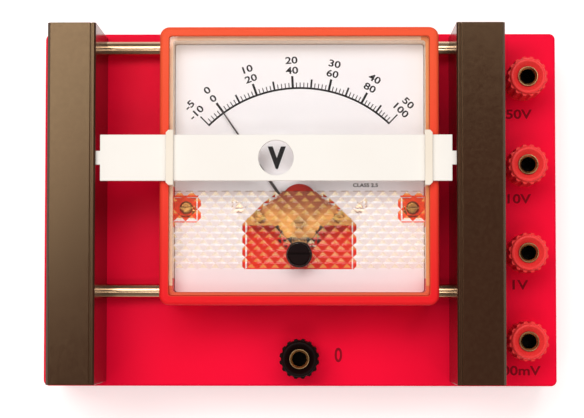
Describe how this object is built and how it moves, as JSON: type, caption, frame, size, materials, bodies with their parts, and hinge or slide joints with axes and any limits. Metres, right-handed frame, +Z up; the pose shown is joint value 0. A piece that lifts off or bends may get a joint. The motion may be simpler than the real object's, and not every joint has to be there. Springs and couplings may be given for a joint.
{
  "type": "moving-coil bench meter",
  "caption": "Flat red bench meter: moving-coil movement and dial under a clear faceted cover, plug sockets, and a sliding shutter that bares one socket row at a time.",
  "frame": {"origin": "middle of the footprint, on the surface the feet stand on", "axes": "+X to the right along the shutter's travel, +Y from the common socket towards the dial's top, +Z up out of the dial"},
  "size_m": [0.145, 0.1, 0.0563],
  "materials": {
    "red_base": "glossy red moulded plastic",
    "black_cover": "fine-grained black plastic",
    "rubber": "matt black rubber",
    "red_case": "glossy orange-red moulded plastic",
    "clear": "clear acrylic with a field of moulded pyramids",
    "gasket": "cream foam strip",
    "white_plastic": "smooth white plastic",
    "dial_white": "satin white paint on sheet",
    "plated": "bright plated steel",
    "brass": "plain yellow brass",
    "iron": "dark magnet steel",
    "aluminium": "thin folded aluminium",
    "copper": "enamelled copper wire",
    "needle_black": "matt black painted blade",
    "black_plastic": "glossy black plastic",
    "brown_bar": "satin dark brown plastic",
    "rod_steel": "ground and plated steel rod",
    "socket_metal": "nickel plated brass",
    "red_cap": "glossy red plastic",
    "resistor": "lacquered ceramic"
  },
  "bodies": {
    "base": {"base_case": "red_base", "bottom_cover": "black_cover", "feet": "rubber", "meter_case": "red_case", "movement_mask": "red_case", "clear_cover": "clear", "cover_gasket": "gasket", "left_strap_guide": "white_plastic", "right_strap_guide": "white_plastic", "dial_plate": "dial_white", "bottom_screws": "plated", "dial_screws": "plated", "plate_screws": "plated", "bridge_screws": "plated", "solder_tags": "plated", "case_screws": "brass", "movement_plate": "brass", "core_bar": "brass", "upper_bridge": "brass", "jewel_screws": "brass", "socket_nuts": "brass", "yoke_ring": "iron", "magnet_core": "iron", "shunt_wires": "copper", "black_collar": "black_plastic", "v_posts": "socket_metal", "a_posts": "socket_metal", "common_post": "socket_metal", "red_collars": "red_cap", "series_resistors": "resistor"},
    "carriage": {"left_bar": "brown_bar", "right_bar": "brown_bar", "upper_rod": "rod_steel", "lower_rod": "rod_steel", "strap": "white_plastic", "rod_screws": "plated"},
    "moving_coil": {"coil_former": "aluminium", "coil_winding": "copper", "pivots": "plated", "needle": "needle_black", "balance_weights": "plated", "upper_hairspring": "brass", "lower_hairspring": "brass"},
    "zero_lever": {"zero_lever": "brass"},
    "zero_adjuster": {"zero_adjuster": "black_plastic"},
    "v_cap_1": {"v_cap_1": "red_cap"},
    "v_cap_2": {"v_cap_2": "red_cap"},
    "v_cap_3": {"v_cap_3": "red_cap"},
    "v_cap_4": {"v_cap_4": "red_cap"},
    "a_cap_1": {"a_cap_1": "red_cap"},
    "a_cap_2": {"a_cap_2": "red_cap"},
    "a_cap_3": {"a_cap_3": "red_cap"},
    "a_cap_4": {"a_cap_4": "red_cap"},
    "common_cap": {"common_cap": "black_plastic"}
  },
  "joints": [
    {"name": "carriage_slide", "type": "slide", "parent": "base", "child": "carriage", "axis": [1, 0, 0], "range_m": [0, 0.0124]},
    {"name": "needle_swing", "type": "hinge", "parent": "base", "child": "moving_coil", "pos_m": [0, -0.005, 0.044], "axis": [0, 0, -1], "range_deg": [-8.8, 78], "stiffness_Nm_per_rad": 0.00002, "deforming": ["upper_hairspring", "lower_hairspring"]},
    {"name": "zero_adjust", "type": "hinge", "parent": "base", "child": "zero_adjuster", "pos_m": [0, -0.0136, 0.05], "axis": [0, 0, 1], "range_deg": [-30, 30]},
    {"name": "zero_lever_turn", "type": "hinge", "parent": "base", "child": "zero_lever", "pos_m": [0, -0.005, 0.047], "axis": [0, 0, 1], "range_deg": [-4, 4]},
    {"name": "v_cap_1_turn", "type": "hinge", "parent": "base", "child": "v_cap_1", "pos_m": [0.063, 0.0359, 0.037], "axis": [0, 0, 1], "range_deg": [0, 720]},
    {"name": "v_cap_2_turn", "type": "hinge", "parent": "base", "child": "v_cap_2", "pos_m": [0.063, 0.01157, 0.037], "axis": [0, 0, 1], "range_deg": [0, 720]},
    {"name": "v_cap_3_turn", "type": "hinge", "parent": "base", "child": "v_cap_3", "pos_m": [0.063, -0.01277, 0.037], "axis": [0, 0, 1], "range_deg": [0, 720]},
    {"name": "v_cap_4_turn", "type": "hinge", "parent": "base", "child": "v_cap_4", "pos_m": [0.063, -0.0371, 0.037], "axis": [0, 0, 1], "range_deg": [0, 720]},
    {"name": "a_cap_1_turn", "type": "hinge", "parent": "base", "child": "a_cap_1", "pos_m": [-0.063, 0.0359, 0.037], "axis": [0, 0, 1], "range_deg": [0, 720]},
    {"name": "a_cap_2_turn", "type": "hinge", "parent": "base", "child": "a_cap_2", "pos_m": [-0.063, 0.01157, 0.037], "axis": [0, 0, 1], "range_deg": [0, 720]},
    {"name": "a_cap_3_turn", "type": "hinge", "parent": "base", "child": "a_cap_3", "pos_m": [-0.063, -0.01277, 0.037], "axis": [0, 0, 1], "range_deg": [0, 720]},
    {"name": "a_cap_4_turn", "type": "hinge", "parent": "base", "child": "a_cap_4", "pos_m": [-0.063, -0.0371, 0.037], "axis": [0, 0, 1], "range_deg": [0, 720]},
    {"name": "common_cap_turn", "type": "hinge", "parent": "base", "child": "common_cap", "pos_m": [0, -0.042, 0.037], "axis": [0, 0, 1], "range_deg": [0, 720]}
  ],
  "couplings": [
    {"joint": "zero_lever_turn", "follows": "zero_adjust", "ratio": -0.1233}
  ]
}
